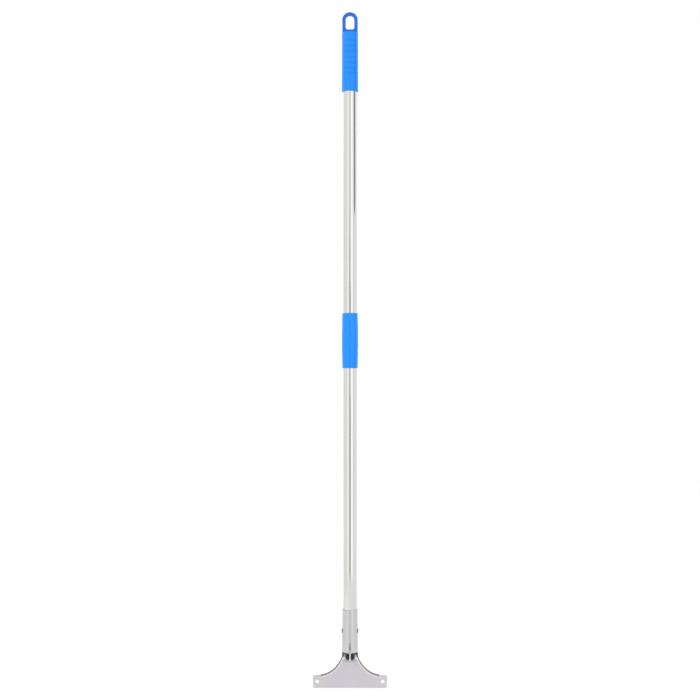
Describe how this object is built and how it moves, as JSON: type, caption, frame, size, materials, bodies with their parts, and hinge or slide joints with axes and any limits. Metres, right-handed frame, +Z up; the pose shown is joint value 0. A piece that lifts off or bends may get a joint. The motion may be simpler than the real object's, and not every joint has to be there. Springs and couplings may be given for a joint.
{
  "type": "long-handled pool wall scraper",
  "caption": "Long steel pole with a blue hanging grip, a screw joint under a blue sleeve and a flat steel blade head with a hole at each end, for pool walls.",
  "frame": {"origin": "underside of the hanging loop's arch, on the pole's axis, where a hook carries the pole", "axes": "+Z up along the pole from the blade to the loop, +X along the blade's edge to the right seen from the front, +Y to the back; the raised flanges and the socket's seam face -Y"},
  "size_m": [0.1314, 0.0298, 1.1979],
  "materials": {
    "blue_plastic": "glossy moulded, bright blue",
    "tube_steel": "polished stainless tube with fine lengthwise draw lines",
    "sheet_steel": "satin stainless sheet",
    "insert_plastic": "matte grey moulded",
    "seal_rubber": "matte black",
    "rivet_aluminium": "bright aluminium",
    "pin_steel": "plain steel"
  },
  "bodies": {
    "upper_section": {"top_grip": "blue_plastic", "upper_tube": "tube_steel", "threaded_spigot": "insert_plastic", "spigot_cross_pin": "pin_steel"},
    "washer_ring": {"joint_washer": "seal_rubber"},
    "lower_section": {"joint_sleeve": "blue_plastic", "threaded_socket": "insert_plastic", "socket_cross_pin": "pin_steel", "lower_tube": "tube_steel", "scraper_head": "sheet_steel", "rivet_left": "rivet_aluminium", "rivet_right": "rivet_aluminium", "rivet_mandrel_left": "pin_steel", "rivet_mandrel_right": "pin_steel"}
  },
  "joints": [
    {"name": "section_draw", "type": "slide", "parent": "upper_section", "child": "washer_ring", "axis": [0, 0, -1], "range_m": [0, 0.016]},
    {"name": "section_unscrew", "type": "hinge", "parent": "washer_ring", "child": "lower_section", "pos_m": [0, 0, -0.5752], "axis": [0, 0, -1], "range_deg": [0, 1440]}
  ],
  "couplings": [
    {"joint": "section_draw", "follows": "section_unscrew", "m_per_rad": 0.0006366}
  ]
}
